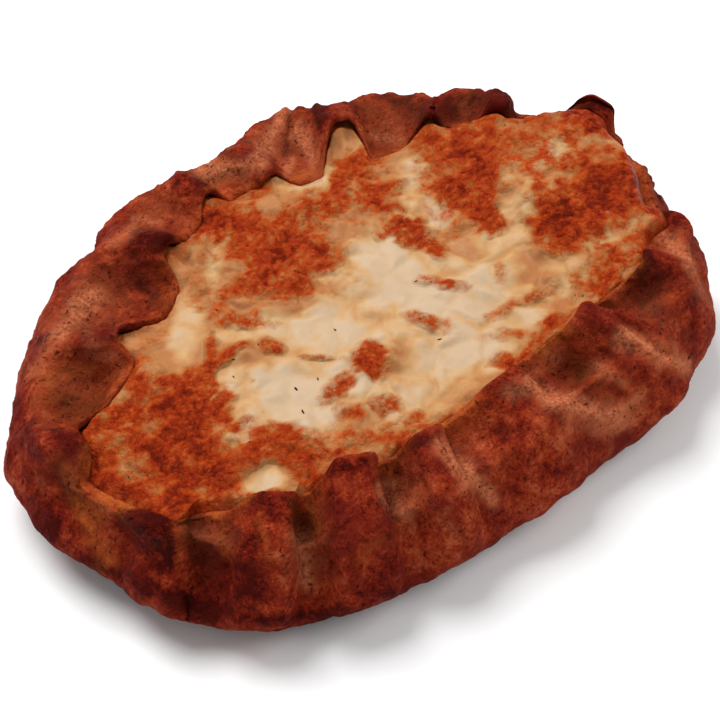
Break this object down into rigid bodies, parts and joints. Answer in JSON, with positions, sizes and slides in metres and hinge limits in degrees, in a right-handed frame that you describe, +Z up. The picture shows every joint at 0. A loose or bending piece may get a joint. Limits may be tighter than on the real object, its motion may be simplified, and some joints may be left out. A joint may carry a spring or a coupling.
{
  "type": "karelian pie",
  "caption": "Open oval savoury pie: a dark rye crust pinched into folds round a domed, browned pale filling, with a flat underside to rest on.",
  "frame": {"origin": "centre of the bounding box, on the plane of the flat underside", "axes": "+X along the oval's length, towards the end where the filling bulges highest; +Y across the width; +Z up through the filling"},
  "size_m": [0.1282, 0.0918, 0.023],
  "materials": {
    "rye_crust": "matt baked rye dough, dark red-brown with paler dents",
    "filling": "moist cream-coloured filling with browned patches"
  },
  "bodies": {
    "root": {"rye_crust": "rye_crust", "filling": "filling"}
  },
  "joints": []
}
